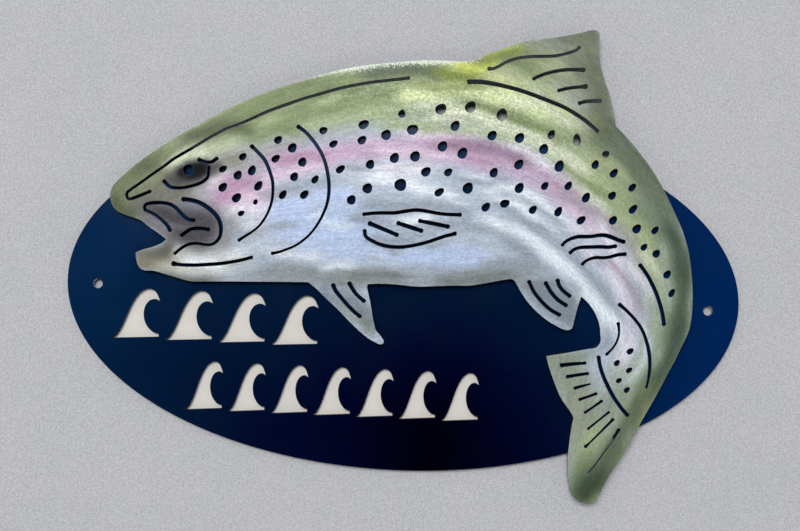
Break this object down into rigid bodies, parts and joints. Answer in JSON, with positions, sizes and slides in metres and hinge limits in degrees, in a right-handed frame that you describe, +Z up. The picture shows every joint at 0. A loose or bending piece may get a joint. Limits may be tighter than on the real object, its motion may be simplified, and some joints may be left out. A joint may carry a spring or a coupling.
{
  "type": "metal wall sign",
  "caption": "Oval wall sign: a leaping trout of ground steel sheet with cut lines and spots, held in front of a dark gloss oval plate with wave-shaped cut-outs over a pale backer.",
  "frame": {"origin": "midway between the two wall holes, on the back of the oval plate", "axes": "+X to the right as seen from the front, +Z up, -Y out of the front of the sign towards the viewer"},
  "size_m": [0.4572, 0.0071, 0.3197],
  "materials": {
    "navy_enamel": "gloss",
    "painted_ground_steel": "ground, airbrushed and clear coated",
    "pale_backer": "satin",
    "bonding_tape": "matte",
    "boss_steel": "turned",
    "screw_steel": "bright zinc"
  },
  "bodies": {
    "root": {"oval_plate": "navy_enamel", "fish_plate": "painted_ground_steel", "cutout_backer": "pale_backer", "upper_tape": "bonding_tape", "middle_tape": "bonding_tape", "lower_tape": "bonding_tape", "chin_boss": "boss_steel", "gill_boss": "boss_steel", "back_boss": "boss_steel", "belly_boss": "boss_steel", "flank_boss": "boss_steel", "tail_boss": "boss_steel", "chin_screw": "screw_steel", "gill_screw": "screw_steel", "back_screw": "screw_steel", "belly_screw": "screw_steel", "flank_screw": "screw_steel", "tail_screw": "screw_steel"}
  },
  "joints": []
}
